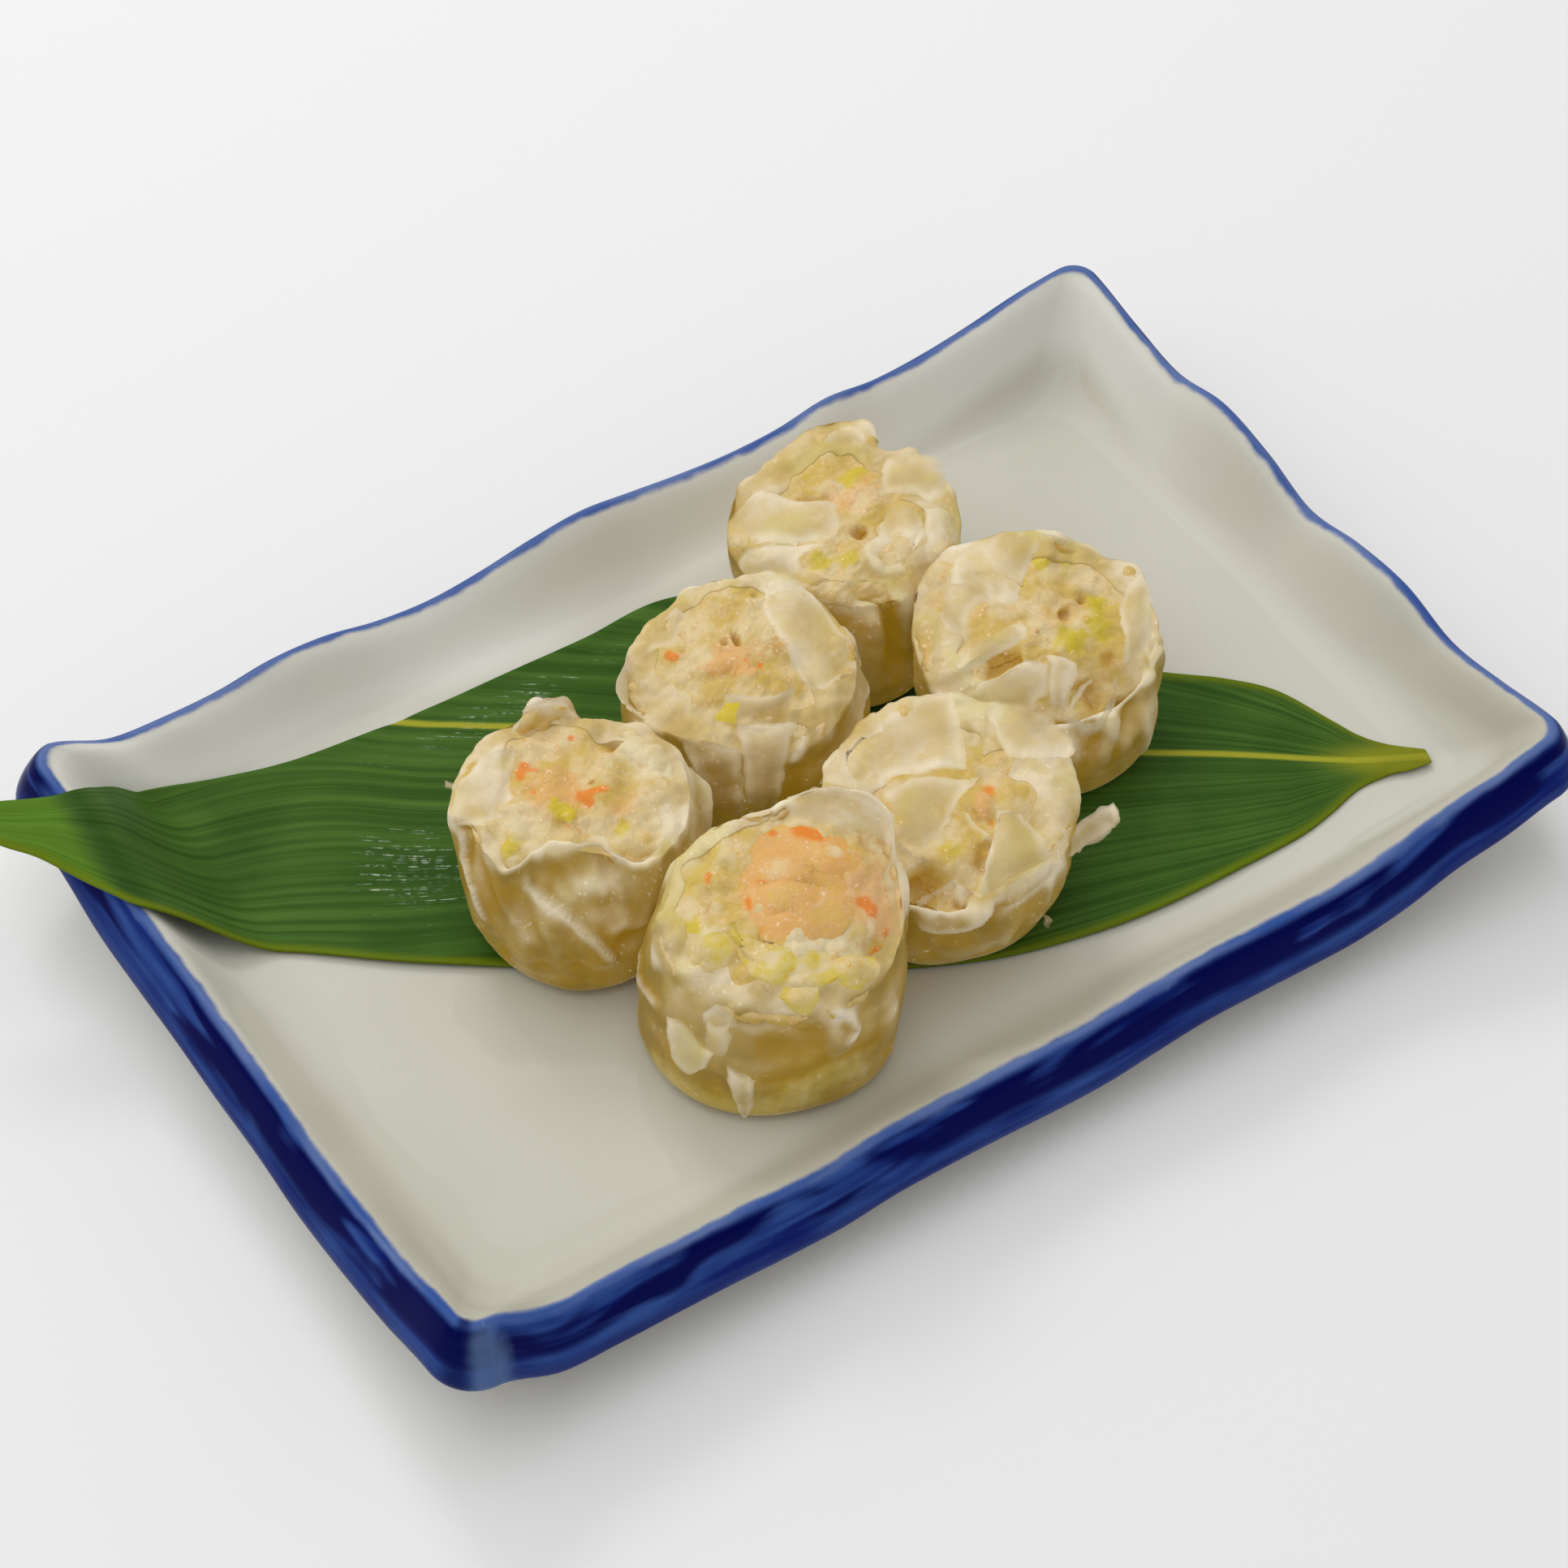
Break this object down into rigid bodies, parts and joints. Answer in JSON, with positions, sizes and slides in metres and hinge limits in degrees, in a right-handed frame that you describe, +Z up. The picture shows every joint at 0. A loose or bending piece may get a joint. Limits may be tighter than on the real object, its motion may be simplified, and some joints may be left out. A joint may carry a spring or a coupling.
{
  "type": "siu mai dumplings on a rectangular plate",
  "caption": "Open-topped steamed pork dumplings in pleated wrappers, standing on a bamboo leaf laid across a rectangular stoneware plate with raised, blue-edged sides.",
  "frame": {"origin": "middle of the whole footprint, leaf tip included, on the surface that the plate stands on", "axes": "+X along the plate's long side, away from the leaf's tip; +Y along its short side, away from the side of the tallest dumpling; +Z up"},
  "size_m": [0.2244, 0.136, 0.0429],
  "materials": {
    "plate_glaze": "gloss grey-green glaze, rim brushed cobalt blue",
    "leaf": "waxy green leaf, wet in places",
    "wrapper": "steamed dough skin, translucent and moist",
    "filling": "moist chopped filling",
    "shrimp": "cooked shrimp, moist"
  },
  "bodies": {
    "root": {"plate": "plate_glaze", "leaf": "leaf", "wrapper_1": "wrapper", "wrapper_2": "wrapper", "wrapper_3": "wrapper", "wrapper_4": "wrapper", "wrapper_5": "wrapper", "wrapper_6": "wrapper", "filling_1": "filling", "filling_2": "filling", "filling_3": "filling", "filling_4": "filling", "filling_5": "filling", "filling_6": "filling", "shrimp_1": "shrimp"}
  },
  "joints": []
}
